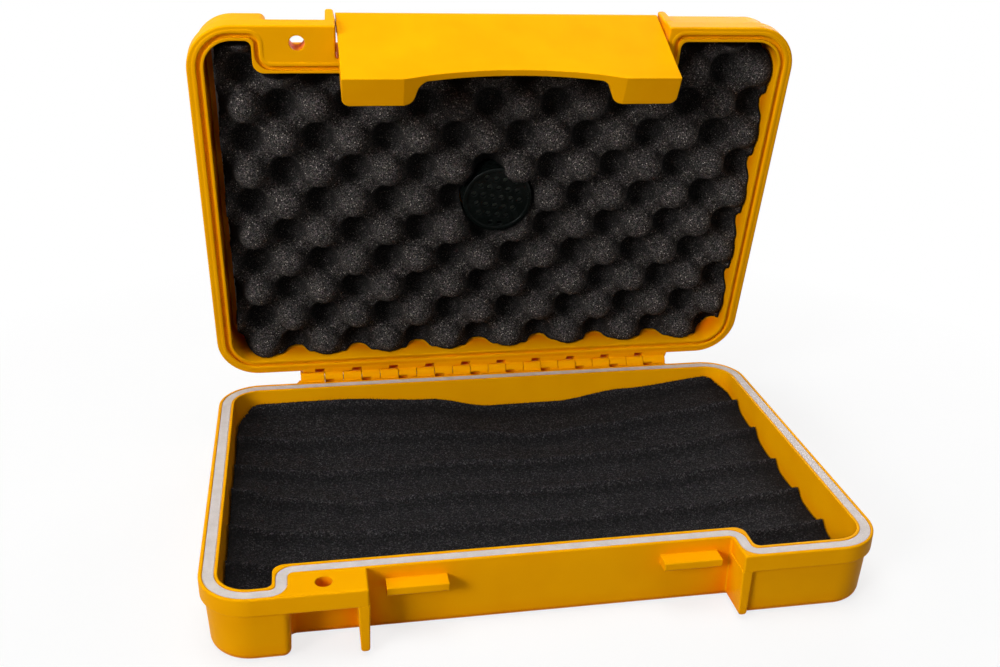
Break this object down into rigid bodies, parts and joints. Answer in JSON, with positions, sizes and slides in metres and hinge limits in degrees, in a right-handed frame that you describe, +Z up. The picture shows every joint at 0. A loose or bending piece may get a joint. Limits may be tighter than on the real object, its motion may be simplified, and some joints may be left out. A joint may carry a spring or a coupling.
{
  "type": "travel humidor",
  "caption": "Small moulded travel humidor with a hinged lid, grooved foam bed, egg-crate foam lining, rim seal, wide front latch, padlock ledge and humidifier disc.",
  "frame": {"origin": "centre of the base's underside, in line with the hinge's middle across the case", "axes": "+X across the case to the right as seen from the latch, +Y to the hinge at the back, +Z up; the lid stands open at 77.9 degrees from shut"},
  "size_m": [0.2312, 0.1761, 0.1835],
  "materials": {
    "shell_plastic": "satin",
    "seal_rubber": "matte",
    "foam": "matte",
    "pin_steel": "satin",
    "adhesive_sheet": "matte",
    "disc_plastic": "gloss",
    "sponge": "matte"
  },
  "bodies": {
    "base": {"base_shell": "shell_plastic", "rim_gasket": "seal_rubber", "base_foam_pad": "foam", "hinge_pin": "pin_steel"},
    "lid": {"lid_shell": "shell_plastic", "lid_foam_adhesive": "adhesive_sheet", "lid_foam_pad": "foam", "humidifier_adhesive": "adhesive_sheet", "humidifier_cup": "disc_plastic", "humidifier_sponge": "sponge", "humidifier_grille": "disc_plastic"},
    "latch_pin": {"latch_pin": "pin_steel"},
    "latch": {"latch": "shell_plastic"}
  },
  "joints": [
    {"name": "lid_hinge", "type": "hinge", "parent": "base", "child": "lid", "pos_m": [0, 0.0806, 0.0258], "axis": [-1, 0, 0], "range_deg": [-77.9, 32.1]},
    {"name": "latch_guide", "type": "hinge", "parent": "lid", "child": "latch_pin", "pos_m": [0, 0.06323, 0.17886], "axis": [-1, 0, 0], "range_deg": [-9.4, 22.6]},
    {"name": "latch_swing", "type": "hinge", "parent": "latch_pin", "child": "latch", "pos_m": [0, 0.06323, 0.17886], "axis": [-1, 0, 0], "range_deg": [-8.5, 110]}
  ],
  "couplings": [
    {"joint": "latch_guide", "follows": "lid_hinge", "ratio": -0.28883}
  ]
}
